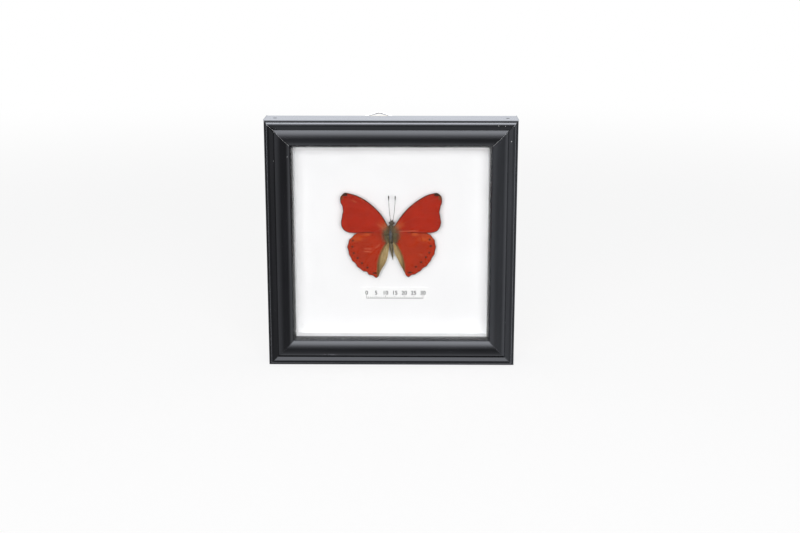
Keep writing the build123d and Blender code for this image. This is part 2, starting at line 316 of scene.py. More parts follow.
def black_foil():
    """Semi-gloss black foil on the moulding: slight waves, painted light as a grey veil on some rails, chips,
    and pale core at worn mitres that is also a painted glint.
    """
    m = Shading("black_foil")
    along = m.place((0.12, 1, 1), "grain")
    even = m.place((1, 1, 1), "grain")
    smear = m.noise(0.006, 4, 0.6, along)
    tone = m.mix(m.span(smear, 0.35, 0.75), srgb(12, 12, 14), srgb(21, 21, 24))
    wear = m.times(m.value("arris"), m.span(m.noise(0.0035, 5, 0.7, even), 0.62, 0.72))
    tone = m.mix(m.times(wear, 0.5), tone, srgb(86, 86, 88))
    # Painted light: a grey veil over the colour where more light falls on a rail, strongest on the right one.
    painted_veil = m.times(m.value("painted_veil"), m.span(smear, 0.2, 0.8, 0.85, 1.15))
    tone = m.mix(painted_veil, tone, srgb(62, 64, 68))
    ragged = m.noise(0.0005, 3, 0.7)
    chip = 0.0
    for x, z, size in FOIL_CHIPS:
        radius = m.span(ragged, 0.3, 0.7, 0.6 * size * MM, 1.3 * size * MM)
        reach = m.math("DIVIDE", m.distance((1, 0, 1), (x * MM, 0, z * MM)), radius)
        chip = m.math("MAXIMUM", chip, m.span(reach, 1.1, 0.8))
    stretch = (1 / SCUFF_REACH[0], 0, 1 / SCUFF_REACH[1])
    middle = (SCUFF_PLACE[0] / SCUFF_REACH[0], 0, SCUFF_PLACE[1] / SCUFF_REACH[1])
    rubbed = m.span(m.noise(0.0011, 4, 0.7, m.place((0.3, 1, 1))), 0.45, 0.62)
    rubbed = m.times(m.span(m.distance(stretch, middle), 1.0, 0.3), rubbed)
    tone = m.mix(m.times(rubbed, 0.22), tone, srgb(150, 150, 156))
    # Pale core at the gaping top mitres: partly real wear, partly a painted glint, made bright where these
    # edges catch the light from above.
    core_and_glint = m.times(m.value("core_and_glint"), m.span(m.noise(0.0016, 4, 0.6), 0.3, 0.45))
    core_and_glint = m.span(core_and_glint, 0.4, 0.6)
    tone = m.mix(m.math("MAXIMUM", m.times(chip, 0.7), core_and_glint), tone, srgb(222, 222, 222))
    rough = m.span(m.noise(0.009, 5, 0.65, along), 0.3, 0.75, 0.14, 0.22)
    rough = m.math("ADD", rough, m.times(m.math("MAXIMUM", wear, core_and_glint), 0.4))
    rough = m.math("ADD", rough, m.times(rubbed, 0.12))
    fine = m.times(m.noise(0.0011, 2, 0.6, along), 0.05)
    height = m.math("ADD", m.noise(0.011, 1, 0.4, along), fine)
    m.set(Base_Color=tone, Roughness=rough, IOR=FOIL_IOR, Normal=m.bump(height, 0.00008, 0.3))
    return m.material


def raw_wood():
    """The bare wood of the moulding's back and rabbet."""
    m = Shading("raw_wood")
    rings = m.noise(0.0016, 4, 0.65, m.place((0.06, 1, 1), "grain"))
    tone = m.mix(m.span(rings, 0.3, 0.7), srgb(176, 140, 98), srgb(205, 172, 128))
    pores = m.span(m.noise(0.0004, 2, 0.5, m.place((0.05, 1, 1), "grain")), 0.66, 0.72)
    tone = m.mix(m.times(pores, 0.5), tone, srgb(120, 88, 58))
    m.set(Base_Color=tone, Roughness=0.75, Normal=m.bump(rings, 0.00015, 0.5))
    return m.material


def clear_glass():
    """Float glass that lets lamps light what is behind it."""
    m = Shading("clear_glass")
    m.set(Base_Color=(0.99, 0.99, 0.99), Roughness=0.0, IOR=GLASS_IOR, Transmission_Weight=1.0,
          Specular_Tint=GLASS_GLOSS)
    path = m.node("ShaderNodeLightPath")
    unseen = m.math("MAXIMUM", path.outputs["Is Shadow Ray"], path.outputs["Is Diffuse Ray"])
    open_air = m.node("ShaderNodeBsdfTransparent")
    m.feed(open_air.inputs["Color"], GLASS_CLARITY)
    m.blend(unseen, m.skin.outputs[0], open_air.outputs[0])
    return m.material


def white_board(name, colour, size, depth, roughness=0.85):
    """White card, foam or paper: a faint mottle, a fine tooth and a few fibres."""
    m = Shading(name)
    tone = m.mix(m.span(m.noise(0.02, 4, 0.6), 0.3, 0.7), tuple(c * 0.975 for c in colour), colour)
    fibres = m.span(m.noise(size * 3, 5, 0.7, m.place((1, 1, 0.3))), 0.68, 0.78)
    tone = m.mix(m.times(fibres, 0.06), tone, srgb(150, 146, 138))
    m.set(Base_Color=tone, Roughness=roughness, Specular_IOR_Level=0.3,
          Normal=m.bump(m.noise(size, 3, 0.6), depth, 0.35))
    return m.material


def hardboard():
    """Pressed brown board, with flecks of lighter fibre and a few scuffs."""
    m = Shading("hardboard")
    broad = m.noise(0.018, 5, 0.6)
    tone = m.mix(m.span(broad, 0.3, 0.7), srgb(96, 66, 42), srgb(120, 86, 56))
    fleck = m.span(m.noise(0.0009, 4, 0.75, m.place((1, 1, 0.45))), 0.52, 0.72)
    tone = m.mix(m.times(fleck, 0.45), tone, srgb(164, 128, 90))
    scuff = m.span(m.noise(0.006, 6, 0.8, m.place((0.25, 1, 1))), 0.66, 0.74)
    tone = m.mix(m.times(scuff, 0.25), tone, srgb(178, 156, 128))
    m.set(Base_Color=tone, Roughness=m.span(broad, 0.3, 0.7, 0.42, 0.6),
          Normal=m.bump(m.noise(0.0007, 4, 0.7), 0.00012, 0.5))
    return m.material


def metal(name, colour, dark, roughness, tarnish):
    """Plated or drawn metal with a fine grain and dull patches."""
    m = Shading(name)
    patch = m.span(m.noise(0.003, 5, 0.7), 0.45, 0.7)
    tone = m.mix(m.times(patch, tarnish), colour, dark)
    rough = m.span(m.noise(0.0015, 4, 0.6), 0.3, 0.7, roughness * 0.75, roughness * 1.4)
    m.set(Base_Color=tone, Metallic=1.0, Roughness=rough,
          Normal=m.bump(m.noise(0.0003, 3, 0.6, m.place((0.3, 1, 1))), 0.00003, 0.5))
    return m.material


def wing_scales(name, base):
    """Wing scales: saturated red, dark outline and spots, tan and olive inner zones, pale rubbed marks."""
    m = Shading(name)
    tone = m.mix(m.span(m.noise(0.006, 5, 0.65), 0.3, 0.7), base, tuple(c * 0.8 for c in base))
    orange = m.times(m.value("orange"), m.span(m.noise(0.0016, 4, 0.7), 0.25, 0.7))
    tone = m.mix(orange, tone, srgb(208, 92, 34))
    tone = m.mix(m.times(m.value("vein"), 0.10), tone, srgb(205, 100, 60))
    hairy = m.noise(0.0008, 4, 0.7, m.place((1.6, 1, 0.35)))
    tan = m.mix(m.span(hairy, 0.3, 0.7), srgb(142, 118, 76), srgb(182, 160, 112))
    tone = m.mix(m.value("brown"), tone, tan)
    tone = m.mix(m.times(m.value("olive"), m.span(hairy, 0.2, 0.6, 0.6, 1.0)), tone, srgb(92, 70, 34))
    fleck = m.span(m.noise(0.0007, 5, 0.8), 0.60, 0.72)
    tone = m.mix(m.times(fleck, 0.16), tone, srgb(96, 20, 8))
    rubbed = m.span(m.noise(0.0005, 3, 0.7), 0.35, 0.6, 0.3, 1.0)
    tone = m.mix(m.times(m.value("scratch"), rubbed), tone, srgb(214, 118, 84))
    edge = m.math("ADD", m.value("dark"), m.span(m.noise(0.0005, 3, 0.7), 0.2, 0.8, -0.22, 0.22))
    tone = m.mix(m.span(edge, 0.38, 0.62), tone, srgb(50, 27, 12))
    grain = m.cells(0.00016)
    tone = m.mix(m.span(grain, 0.1, 0.75, 0.0, 0.18), tone, srgb(60, 12, 6))
    fine = m.math("ADD", m.noise(0.00022, 2, 0.6), m.times(grain, 0.6))
    m.set(Base_Color=tone, Roughness=0.7, Specular_IOR_Level=0.04, Normal=m.bump(fine, 0.00004, 0.6))
    return m.material


def fur(name, dark, light):
    """Short dry hair: the tone varies from hair to hair and from root to tip."""
    m = Shading(name)
    tone = m.mix(m.value("strand"), dark, light)
    tone = m.mix(m.span(m.noise(0.0012, 3, 0.6), 0.35, 0.65, 0.0, 0.45), tone, tuple(c * 0.45 for c in dark))
    m.set(Base_Color=tone, Roughness=0.7, Specular_IOR_Level=0.3)
    return m.material


def body_skin():
    """The thorax, head and abdomen under their hair, with the thorax's bare dark oval."""
    m = Shading("body_skin")
    dusty = m.noise(0.0009, 4, 0.7)
    tone = m.mix(m.span(dusty, 0.3, 0.7), srgb(70, 64, 48), srgb(118, 108, 84))
    tone = m.mix(m.value("band"), tone, srgb(150, 134, 100))
    bare = m.value("bare")
    tone = m.mix(bare, tone, m.mix(m.span(dusty, 0.35, 0.7), srgb(38, 40, 44), srgb(74, 76, 80)))
    m.set(Base_Color=tone, Roughness=m.math("SUBTRACT", 0.75, m.times(bare, 0.38)),
          Normal=m.bump(m.noise(0.00018, 4, 0.7), 0.00006, 0.8))
    return m.material


def chitin(name, dark, light, roughness):
    """Hard dull skin in two tones, banded across its height."""
    m = Shading(name)
    tone = m.mix(m.span(m.noise(0.0006, 3, 0.6, m.place((1, 1, 2.5))), 0.35, 0.65), dark, light)
    m.set(Base_Color=tone, Roughness=roughness, Normal=m.bump(m.noise(0.0002, 3, 0.6), 0.00003, 0.6))
    return m.material


def ink():
    m = Shading("ink")
    tone = m.mix(m.span(m.noise(0.0004, 3, 0.6), 0.4, 0.7), srgb(20, 20, 22), srgb(44, 44, 47))
    m.set(Base_Color=tone, Roughness=0.6)
    return m.material


FOIL = black_foil()
WOOD = raw_wood()
GLASS = clear_glass()
CARD = white_board("white_card", (0.87, 0.87, 0.875), 0.00035, 0.00004)
FOAM = white_board("white_foam", (0.86, 0.865, 0.875), 0.0007, 0.0001)
LABEL = white_board("label_card", (0.88, 0.88, 0.88), 0.0003, 0.00002, 0.6)
BOARD = hardboard()
STEEL = metal("zinc_steel", (0.62, 0.62, 0.63), (0.28, 0.27, 0.26), 0.3, 0.5)
DARK_STEEL = metal("dull_steel", (0.2, 0.2, 0.2), (0.07, 0.065, 0.06), 0.45, 0.7)
PLATED = metal("brass_plate", (0.83, 0.65, 0.33), (0.36, 0.27, 0.14), 0.28, 0.45)
WIRE = metal("drawn_wire", (0.56, 0.55, 0.53), (0.16, 0.15, 0.14), 0.24, 0.6)
FOREWING_SKIN = wing_scales("forewing_scales", srgb(174, 34, 4))
HINDWING_SKIN = wing_scales("hindwing_scales", srgb(174, 44, 6))
FUR = fur("body_fur", srgb(66, 58, 44), srgb(146, 134, 106))
RUFF = fur("ruff_fur", srgb(70, 62, 38), srgb(186, 166, 118))
SKIN = body_skin()
ANTENNA = chitin("antenna_chitin", srgb(46, 42, 38), srgb(96, 92, 88), 0.5)
CLUB = chitin("club_chitin", srgb(20, 18, 17), srgb(44, 40, 38), 0.55)
EYE = chitin("eye_chitin", srgb(34, 24, 18), srgb(66, 46, 32), 0.3)
INK = ink()


# ---- moulding ----
# The rail's section, as depth behind the front plane and distance in from the outer edge.
SHOULDER_DEPTH = 2.8 * MM
SHOULDER_WIDTH = 0.8 * MM
SHOULDER_RADIUS = 0.15 * MM
BEAD_TOP_DEPTH = 0.4 * MM
BEAD_TOP_IN = 1.6 * MM
BEAD_TOP_WIDTH = 1.2 * MM
BEAD_OUTSIDE_RADIUS = 0.5 * MM
BEAD_INSIDE_RADIUS = 0.9 * MM
VALLEY_DEPTH = 1.4 * MM
VALLEY_IN = 4.8 * MM
VALLEY_RADIUS = 0.25 * MM
BULGE_CREST_IN = 8.6 * MM
SIGHT_EDGE_DEPTH = 6.0 * MM
SIGHT_CURVE_WIDTH = 5.7 * MM
RABBET_IN = GLASS_LOW.z
LIP_DEPTH = GLASS_LOW.y - FRONT_Y
CASE_DEPTH = BACK_Y - FRONT_Y
ARRIS = 0.35 * MM
FOIL_WRAP = 1.2 * MM
MITRE_ROUND = 0.12 * MM
OPEN_MITRE_ROUND = 0.28 * MM
OPEN_MITRE_SPANS = [(1.3 * MM, 3.2 * MM), (5.0 * MM, 13.0 * MM)]
BRAD_INSET = 5.0 * MM
BRAD_DEPTH = 11.7 * MM
SINKING_RADIUS = 0.97 * MM
SINKING_DEPTH = 0.39 * MM
SINKING_SIDES = 20
SMOOTH_REACH = 1.3 * MM


def quarter(centre, radii, start, end, steps):
    """Points on an ellipse, as (depth, distance in), from one angle in degrees to another."""
    angles = np.radians(np.linspace(start, end, steps + 1))
    return [(centre[0] + radii[0] * math.cos(a), centre[1] + radii[1] * math.sin(a)) for a in angles]


def round_corner(before, corner, after, radius, steps=5):
    """Points on the arc that rounds an outline's corner."""
    before, corner, after = (np.asarray(p, float) for p in (before, corner, after))
    back = (before - corner) / np.linalg.norm(before - corner)
    ahead = (after - corner) / np.linalg.norm(after - corner)
    half = math.acos(float(np.clip(back @ ahead, -1, 1))) / 2
    middle = (back + ahead) / np.linalg.norm(back + ahead)
    centre = corner + middle * radius / math.sin(half)
    first = corner + back * radius / math.tan(half) - centre
    last = corner + ahead * radius / math.tan(half) - centre
    sweep = math.pi - 2 * half
    shares = np.linspace(0, 1, steps + 1)
    return [tuple(centre + (first * math.sin((1 - s) * sweep) + last * math.sin(s * sweep)) / math.sin(sweep))
            for s in shares]


def moulding_section():
    """The rail's section as rows of (depth, in, arris, bare wood), once round its outline."""
    rise, reach = VALLEY_DEPTH, BULGE_CREST_IN - VALLEY_IN
    flank_radius = (rise ** 2 + reach ** 2) / (2 * rise)
    flank_angle = math.degrees(math.asin(reach / flank_radius))
    flank = quarter((flank_radius, BULGE_CREST_IN), (flank_radius, flank_radius), 180 + flank_angle, 180, 14)
    inside = quarter((SIGHT_EDGE_DEPTH, BULGE_CREST_IN), (SIGHT_EDGE_DEPTH, SIGHT_CURVE_WIDTH), 174, 101, 14)
    inside.append((SIGHT_EDGE_DEPTH, RAIL_WIDTH))
    corners = [
        ((SHOULDER_DEPTH, 0.0), ARRIS, 1.0),
        ((SHOULDER_DEPTH, SHOULDER_WIDTH), SHOULDER_RADIUS, 0.0),
        ((BEAD_TOP_DEPTH, BEAD_TOP_IN), BEAD_OUTSIDE_RADIUS, 0.5),
        ((BEAD_TOP_DEPTH, BEAD_TOP_IN + BEAD_TOP_WIDTH), BEAD_INSIDE_RADIUS, 0.0),
        ((VALLEY_DEPTH, VALLEY_IN), VALLEY_RADIUS, 0.0),
    ]
    path = [(CASE_DEPTH, 0.0)] + [corner for corner, _, _ in corners] + [flank[2]]
    rows = []
    for before, (corner, radius, arris), after in zip(path, corners, path[2:]):
        rows += [(d, u, arris, 0) for d, u in round_corner(before, corner, after, radius)]
    rows += [(d, u, 0.0, 0) for d, u in flank[2:] + inside]
    rows += [(LIP_DEPTH, RAIL_WIDTH, 0.0, 0), (LIP_DEPTH, RABBET_IN, 0.0, 1), (CASE_DEPTH, RABBET_IN, 0.0, 1)]
    rows.append((CASE_DEPTH, FOIL_WRAP, 0.0, 1))
    back = round_corner((CASE_DEPTH, RABBET_IN), (CASE_DEPTH, 0.0), (SHOULDER_DEPTH, 0.0), ARRIS, 3)
    return rows + [(d, u, 1.0, 0) for d, u in back]


def section_normals(section):
    """Outward normals at the section's points, as (depth, in)."""
    p = np.array([(d, u) for d, u, _, _ in section])
    ahead = np.roll(p, -1, 0) - p
    ahead /= np.linalg.norm(ahead, axis=1)[:, None]
    mean = ahead + np.roll(ahead, 1, 0)
    mean /= np.linalg.norm(mean, axis=1)[:, None]
    return np.stack([-mean[:, 1], mean[:, 0]], 1)


def rail_rings(first_round, last_round):
    """Stations along a rail as (end, distance in from its mitre, shrink of the section, openness)."""
    turn = np.radians(np.linspace(0, 90, 5))
    rings = []
    for end, size, angles in ((-1, first_round, turn), (1, last_round, turn[::-1])):
        rings += [(end, size * (1 - math.cos(t)), size * (1 - math.sin(t)), math.cos(t)) for t in angles]
    return rings


def make_rail(name, length, origin, along_axis, in_axis, open_end):
    """One mitred rail with rounded mitre edges; open_end is the end, -1 or 1, whose mitre gapes, or 0."""
    section = moulding_section()
    normals = -section_normals(section)
    rings = rail_rings(*(OPEN_MITRE_ROUND if end == open_end else MITRE_ROUND for end in (-1, 1)))
    axes = np.array([along_axis, (0.0, 1.0, 0.0), in_axis])
    places, arris, core_and_glint = [], [], []
    for end, inward, shrink, openness in rings:
        for (d, u, edge, _), n in zip(section, normals):
            depth, into = d - n[0] * shrink, u - n[1] * shrink
            places.append((end * (length / 2 - into - inward), depth, into))
            arris.append(edge)
            # Each vertex's share of pale core and painted glint, where its mitre gapes.
            gapes = end == open_end and any(a < u < b for a, b in OPEN_MITRE_SPANS)
            core_and_glint.append(openness if gapes else 0.0)
    count = len(section)
    faces = grid_faces(len(rings), count, closed=True)
    caps = [tuple(range(count)), tuple(range((len(rings) - 1) * count, len(rings) * count))[::-1]]
    vertices = np.array(places) @ axes + np.array(origin)
    obj = mesh_object(name, vertices, faces + caps, [FOIL, WOOD])
    outline = np.array([(d, u) for d, u, _, _ in section])
    bare = [b for _, _, _, b in section]
    for polygon in obj.data.polygons:
        column = polygon.index % count
        ahead = (column + 1) % count
        wall = polygon.index >= len(faces)
        polygon.material_index = 1 if not wall and bare[column] and bare[ahead] else 0
        polygon.use_smooth = not wall and math.dist(outline[ahead], outline[column]) < SMOOTH_REACH
    add_values(obj, "arris", arris)
    add_values(obj, "core_and_glint", core_and_glint)
    face_outwards(obj)
    return obj


def face_outwards(obj):
    """Turn a closed mesh's faces so that they look out."""
    work = bmesh.new()
    work.from_mesh(obj.data)
    bmesh.ops.recalc_face_normals(work, faces=work.faces)
    work.to_mesh(obj.data)
    work.free()


def sink_holes(obj, middles, down):
    """Sink round, slightly ragged holes into the largest flat face that looks against down."""
    work = bmesh.new()
    work.from_mesh(obj.data)
    flat = max((f for f in work.faces if f.normal.dot(down) < -0.99), key=lambda f: f.calc_area())
    edges = list(flat.edges)
    bmesh.ops.delete(work, geom=[flat], context="FACES_ONLY")
    gen = np.random.default_rng(19)
    for middle in middles:
        rim, floor = [], []
        for k in range(SINKING_SIDES):
            angle = 2 * math.pi * k / SINKING_SIDES
            spoke = Vector((math.cos(angle), math.sin(angle), 0)) * SINKING_RADIUS
            rim.append(work.verts.new(middle + spoke * gen.uniform(0.97, 1.12)))
            floor.append(work.verts.new(middle + spoke + down * SINKING_DEPTH))
        edges += [work.edges.new((rim[k], rim[(k + 1) % SINKING_SIDES])) for k in range(SINKING_SIDES)]
        for k in range(SINKING_SIDES):
            n = (k + 1) % SINKING_SIDES
            work.faces.new((rim[k], rim[n], floor[n], floor[k]))
        work.faces.new(floor)
    bmesh.ops.triangle_fill(work, use_beauty=True, use_dissolve=False, edges=edges)
    bmesh.ops.recalc_face_normals(work, faces=work.faces)
    work.to_mesh(obj.data)
    work.free()


# How much painted light each rail gets, from 0 to 1: a grey veil over its colour where more light falls on
# it.
RAIL_PAINTED_VEIL = {"bottom_rail": 0.05, "top_rail": 0.06, "left_rail": 0.0, "right_rail": 0.34}


def make_rails():
    """The four rails, each with its own stretch of grain, its painted veil of light, and its brads' sinkings.
    """
    half_w, half_h = CASE_WIDTH / 2, CASE_HEIGHT / 2
    right, up = np.array((1.0, 0.0, 0.0)), np.array((0.0, 0.0, 1.0))
    rails = {
        "bottom_rail": (CASE_WIDTH, (0, FRONT_Y, 0), right, up, 0),
        "top_rail": (CASE_WIDTH, (0, FRONT_Y, CASE_HEIGHT), -right, -up, 0),
        "left_rail": (CASE_HEIGHT, (-half_w, FRONT_Y, half_h), -up, right, -1),
        "right_rail": (CASE_HEIGHT, (half_w, FRONT_Y, half_h), up, -right, 1),
    }
    for k, (node, (length, origin, along_axis, in_axis, open_end)) in enumerate(rails.items()):
        rail = make_rail(node + "_moulding", length, origin, along_axis, in_axis, open_end)
        if abs(in_axis[2]):
            middles = [Vector((side * (half_w - BRAD_INSET), FRONT_Y + BRAD_DEPTH, origin[2]))
                       for side in (-1, 1)]
            sink_holes(rail, middles, Vector(in_axis))
        offsets = np.array([v.co[:] for v in rail.data.vertices]) - np.array(origin)
        grain = offsets @ np.array([along_axis, (0.0, 1.0, 0.0), in_axis]).T + np.array((0.37 * k, 0, 0))
        add_vectors(rail, "grain", grain)
        add_values(rail, "painted_veil", np.full(len(rail.data.vertices), RAIL_PAINTED_VEIL[node]))
        stand_for(rail, "moulding", node)


make_rails()


# ---- CAD nodes that keep their shape ----
WELD_REACH = 0.002 * MM
BEVEL_ANGLE = math.radians(35)
BEVEL_SEGMENTS = 2
# Each node's material and the width of its softened edges, in millimetres.
KEPT_NODES = {
    "front_glass": (GLASS, 0.0),
    "mounting_card": (CARD, 0.0),
    "foam_board": (FOAM, 0.0),
    "specimen_pad": (FOAM, 0.0),
    "back_panel": (BOARD, 0.12),
    "label_strip": (LABEL, 0.04),
    "corner_brads": (DARK_STEEL, 0.0),
    "turn_button_screws": (STEEL, 0.05),
    "hanger_screw": (STEEL, 0.04),
    "hanger_strap": (PLATED, 0.08),
    "hanger_ring": (WIRE, 0.0),
    "eyes": (EYE, 0.0),
}
KEPT_NODES.update({place + "_spacer": (FOAM, 0.1) for place in ("top", "bottom", "left", "right")})
KEPT_NODES.update({place + "_turn_button": (PLATED, 0.15)
                   for place in ("lower_left", "upper_left", "lower_right", "upper_right")})


def finish_node(node, material, bevel):
    """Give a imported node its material, smooth round faces and soften its edges."""
    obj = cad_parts[node]
    obj.data.materials.clear()
    obj.data.materials.append(material)
    for polygon in obj.data.polygons:
        polygon.material_index = 0
        polygon.use_smooth = True
    weld = obj.modifiers.new("weld", "WELD")
    weld.merge_threshold = WELD_REACH
    if bevel:
        soften = obj.modifiers.new("soften", "BEVEL")
        soften.width = bevel
        soften.segments = BEVEL_SEGMENTS
        soften.limit_method = "ANGLE"
        soften.angle_limit = BEVEL_ANGLE
        soften.harden_normals = False
    weighted = obj.modifiers.new("weighted", "WEIGHTED_NORMAL")
    weighted.keep_sharp = False


for kept_node, (kept_material, soft_edge) in KEPT_NODES.items():
    finish_node(kept_node, kept_material, soft_edge * MM)


# ---- wings ----
# Outlines and veins of the left wings as seen from the front, in millimetres from the thorax's
# middle. The right wings have their own margins, written mirrored to the left.
FORE_BASE = (-0.9, 2.4)
HIND_BASE = (-0.9, -1.2)
LEFT_FOREWING = [
    (-0.9, 3.7), (-1.9, 5.1), (-3.1, 7.6), (-5.1, 10.6), (-7.7, 13.6), (-11.0, 16.5), (-14.3, 18.8),
    (-18.1, 20.7), (-21.9, 21.8), (-24.1, 22.0), (-25.6, 20.9), (-26.5, 19.0), (-26.3, 16.8), (-25.4, 14.8),
    (-25.1, 12.5), (-25.5, 10.3), (-25.9, 7.8), (-26.2, 5.4), (-25.5, 3.4), (-24.2, 1.8), (-22.4, 0.8),
    (-19.5, 0.5), (-15.0, 0.6), (-9.0, 0.8), (-4.3, 0.8), (-0.9, 0.4),
]
RIGHT_FOREWING = [
    (-0.9, 3.7), (-2.4, 5.1), (-3.7, 7.3), (-5.8, 10.2), (-8.3, 13.2), (-11.6, 16.2), (-15.0, 18.7),
    (-18.3, 20.6), (-21.7, 21.7), (-24.3, 22.0), (-26.1, 20.7), (-26.8, 18.7), (-26.7, 16.6), (-26.0, 14.4),
    (-25.6, 12.3), (-25.8, 10.1), (-26.2, 8.0), (-26.4, 5.7), (-25.7, 3.7), (-24.5, 1.9), (-22.5, 1.0),
    (-19.3, 0.6), (-15.0, 0.6), (-9.0, 0.8), (-4.3, 0.8), (-0.9, 0.4),
]
LEFT_HINDWING = [
    (-0.8, 0.6), (-4.0, 2.0), (-8.5, 2.3), (-13.5, 1.9), (-17.4, 0.6), (-19.9, -1.1), (-21.8, -3.2),
    (-22.8, -5.8), (-22.9, -7.9), (-22.4, -10.1), (-21.7, -12.2), (-20.5, -14.4), (-18.9, -16.3),
    (-17.7, -17.9), (-16.3, -19.2), (-14.6, -20.3), (-12.8, -20.9), (-12.0, -22.0), (-10.0, -22.7),
    (-8.7, -23.5), (-7.8, -23.8), (-6.8, -23.3), (-5.8, -20.9), (-4.4, -18.3), (-3.0, -16.0), (-2.0, -13.4),
    (-1.3, -10.0), (-1.0, -6.9), (-0.8, -3.5),
]
RIGHT_HINDWING = [
    (-1.0, 0.6), (-4.5, 2.0), (-9.5, 2.3), (-15.0, 1.9), (-19.0, 0.5), (-21.6, -1.2), (-23.0, -3.4),
    (-23.7, -6.4), (-23.5, -9.0), (-22.7, -11.6), (-21.4, -13.8), (-20.1, -16.0), (-18.5, -17.7),
    (-16.5, -19.2), (-14.8, -20.8), (-12.7, -21.9), (-11.0, -22.5), (-9.4, -23.4), (-8.3, -22.8),
    (-6.6, -19.5), (-4.9, -16.5), (-3.7, -13.9), (-2.3, -11.3), (-1.6, -9.0), (-1.2, -6.0), (-1.0, -3.5),
]
FOREWING_VEINS = [
    [(-1.4, 3.9), (-5.6, 9.6), (-11.6, 15.4), (-18.3, 19.4), (-24.6, 20.7)],
    [(-1.3, 3.4), (-6.2, 8.6), (-10.4, 12.3), (-12.4, 14.0)],
    [(-8.8, 11.0), (-12.0, 14.6), (-16.4, 18.6)],
    [(-12.4, 14.0), (-18.0, 16.8), (-25.8, 19.2)],
    [(-12.4, 14.0), (-13.3, 12.2), (-12.8, 9.6)],
    [(-13.2, 12.6), (-19.0, 14.2), (-25.9, 15.2)],
    [(-13.2, 11.0), (-19.0, 11.4), (-25.3, 11.3)],
    [(-1.2, 2.6), (-5.4, 5.0), (-9.6, 7.4), (-12.8, 9.6)],
    [(-11.6, 8.8), (-18.4, 8.4), (-26.0, 7.2)],
    [(-7.6, 6.2), (-15.6, 4.4), (-25.0, 2.9)],
    [(-1.2, 1.8), (-9.0, 2.2), (-21.0, 1.2)],
]
HINDWING_VEINS = [
    [(-1.4, -0.8), (-7.0, 0.4), (-13.0, 0.6), (-18.6, -0.6)],
    [(-1.4, -1.2), (-5.6, -2.0), (-8.8, -3.6)],
    [(-8.8, -3.6), (-15.5, -3.4), (-22.3, -4.8)],
    [(-8.8, -3.6), (-9.4, -5.6), (-8.4, -7.4)],
    [(-9.2, -4.4), (-15.8, -6.0), (-22.6, -8.9)],
    [(-9.2, -5.8), (-15.4, -9.0), (-21.2, -13.0)],
    [(-8.9, -6.9), (-13.8, -11.2), (-18.6, -16.5)],
    [(-1.3, -1.9), (-4.4, -4.4), (-8.4, -7.4)],
    [(-7.8, -7.0), (-11.6, -13.0), (-15.4, -19.6)],
    [(-5.6, -5.4), (-8.6, -13.0), (-12.0, -21.4)],
    [(-1.4, -2.8), (-5.0, -12.0), (-8.3, -23.2)],
    [(-1.2, -3.4), (-2.6, -9.0), (-3.6, -16.4)],
]
LEFT_SPOTS = [(-20.0, -3.6), (-20.3, -7.0), (-19.6, -10.4), (-17.6, -13.1), (-15.3, -15.9), (-12.4, -18.3),
              (-8.6, -21.3)]
RIGHT_SPOTS = [(-20.4, -3.0), (-21.0, -6.5), (-20.3, -10.1), (-18.5, -12.6), (-16.0, -15.3), (-13.2, -17.8),
               (-10.0, -20.9)]
SPOT_SIZE = (0.6, 0.54)
DASH_SIZE = (1.3, 0.42)
WING_ROWS = 110
WING_COLUMNS = 380
WING_THICKNESS = 0.07 * MM
VEIN_WIDTH = 0.16
SCRATCH_WIDTH = 0.16
# Rubbed marks, as short lines of three points.
LEFT_FORE_MARKS = [
    [(-4.1, 3.1), (-5.6, 4.4), (-7.0, 5.5)], [(-20.3, 18.1), (-19.2, 17.6), (-18.2, 17.0)],
    [(-15.5, 18.7), (-15.3, 18.5), (-15.0, 18.4)],
]
LEFT_HIND_MARKS = [
    [(-13.9, -8.0), (-12.2, -8.1), (-10.5, -8.2)], [(-14.2, -9.4), (-12.0, -9.6), (-10.2, -9.9)],
    [(-7.9, -7.4), (-6.9, -6.6), (-6.0, -5.8)],
]
RIGHT_FORE_MARKS = [
    [(-11.7, 15.7), (-11.9, 15.6), (-12.2, 15.4)], [(-4.3, 1.5), (-9.0, 1.7), (-14.3, 1.8)],
]
RIGHT_HIND_MARKS = [[(-15.0, -10.6), (-15.9, -11.2), (-16.6, -11.9)]]
# Where the tan zone of a hindwing ends, from its root down.
BROWN_EDGE = [(-2.4, -4.6), (-4.6, -8.4), (-6.2, -12.4), (-7.0, -16.4), (-7.2, -21.0)]


def distance_to_line(points, line, count=60):
    """Each point's distance to a smooth line through the given points."""
    fine = curve_through(line, count)
    return np.linalg.norm(points[:, None, :] - fine[None], axis=2).min(1)


def wing_noise(points, size, seed):
    """Smooth noise over the wing's plane, from -1 to 1."""
    return value_noise(np.stack([points[:, 0], np.zeros(len(points)), points[:, 1]], 1), size, seed)


def wing_surface(base, margin, rows, columns):
    """Points that fan out from the wing's base to its margin, as (x, z) rows from root to edge."""
    edge = curve_through(margin, columns)
    share = np.linspace(0.02, 1, rows) ** 0.9
    base = np.asarray(base)
    return (base + share[:, None, None] * (edge - base)[None]).reshape(-1, 2), np.repeat(share, columns)


def scallop(margin, first, last, bites, depth):
    """Shallow bites between the vein ends of the margin from one point's share to another's."""
    edge = curve_through(margin, 700)
    share = np.linspace(0, 1, len(edge))
    inside = (share > first) & (share < last)
    phase = (share - first) / (last - first) * bites
    along = np.gradient(edge, axis=0)
    along /= np.linalg.norm(along, axis=1)[:, None]
    normal = np.stack([along[:, 1], -along[:, 0]], 1)
    bite = np.where(inside, depth * (np.abs(np.sin(math.pi * phase)) - 0.35), 0)
    return edge - normal * bite[:, None]


